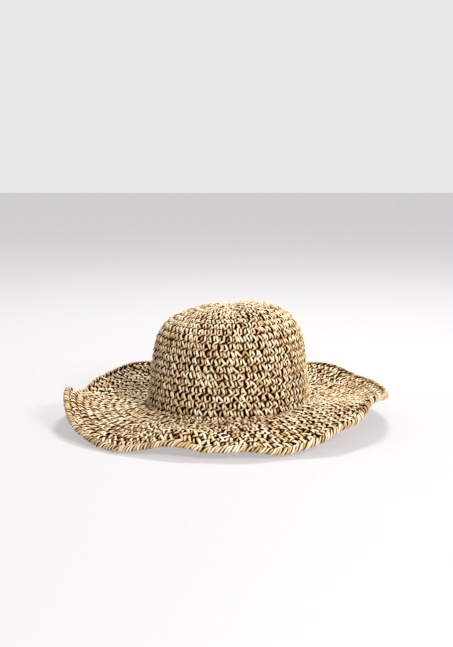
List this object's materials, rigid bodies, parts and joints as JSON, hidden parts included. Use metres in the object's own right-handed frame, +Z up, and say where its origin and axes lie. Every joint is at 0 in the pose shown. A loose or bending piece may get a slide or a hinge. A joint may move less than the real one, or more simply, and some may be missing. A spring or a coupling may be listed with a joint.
{
  "type": "sun hat",
  "caption": "Crocheted straw sun hat with a rounded crown and a wide wavy brim whose front and back turn up, lined with an adjustable sweatband.",
  "frame": {"origin": "centre of the head opening, at the lower edge of the sweatband", "axes": "+Z up through the crown, front of the hat towards -Y, +X towards the wearer's left"},
  "size_m": [0.3982, 0.4074, 0.1447],
  "materials": {
    "straw": "matt paper straw yarn with a slight sheen, crocheted",
    "straw_edging": "matt paper straw yarn, corded",
    "edge_wire": "drawn wire",
    "ferrule": "crimped",
    "band_cotton": "woven cotton twill",
    "band_tape": "woven tape",
    "thread": "sewing thread",
    "cord": "braided cord",
    "lock_plastic": "moulded",
    "spring_steel": "spring wire"
  },
  "bodies": {
    "crown": {"crown_tip": "straw", "crown_wall": "straw", "brim_centre": "straw", "edging_left": "straw_edging", "edging_right": "straw_edging", "edge_wire_left": "edge_wire", "edge_wire_right": "edge_wire", "sweatband": "band_cotton", "sweatband_seam_tape": "band_tape", "sweatband_stitching": "thread", "drawstring": "cord", "cord_stopper": "lock_plastic"},
    "front_brim": {"brim_front": "straw", "edging_front": "straw_edging", "edge_wire_front": "edge_wire"},
    "back_brim": {"brim_back": "straw", "edging_back": "straw_edging", "edge_wire_back": "edge_wire", "wire_ferrule": "ferrule"},
    "cord_lock": {"lock_body": "lock_plastic", "lock_spring": "spring_steel"},
    "lock_button": {"lock_plunger": "lock_plastic"}
  },
  "joints": [
    {"name": "front_brim_fold", "type": "hinge", "parent": "crown", "child": "front_brim", "pos_m": [0, -0.116, 0.001], "axis": [-0.998, 0, -0.0639], "range_deg": [-15, 85], "stiffness_Nm_per_rad": 0.6},
    {"name": "back_brim_fold", "type": "hinge", "parent": "crown", "child": "back_brim", "pos_m": [0, 0.116, 0.01], "axis": [1, 0, 0], "range_deg": [-15, 75], "stiffness_Nm_per_rad": 0.6},
    {"name": "cord_lock_slide", "type": "slide", "parent": "crown", "child": "cord_lock", "axis": [0, 0, 1], "range_m": [0, 0.017]},
    {"name": "lock_button_press", "type": "slide", "parent": "cord_lock", "child": "lock_button", "axis": [-1, 0, 0], "range_m": [0, 0.003], "stiffness_N_per_m": 150, "springref_m": -0.002, "deforming": ["lock_spring"]}
  ]
}
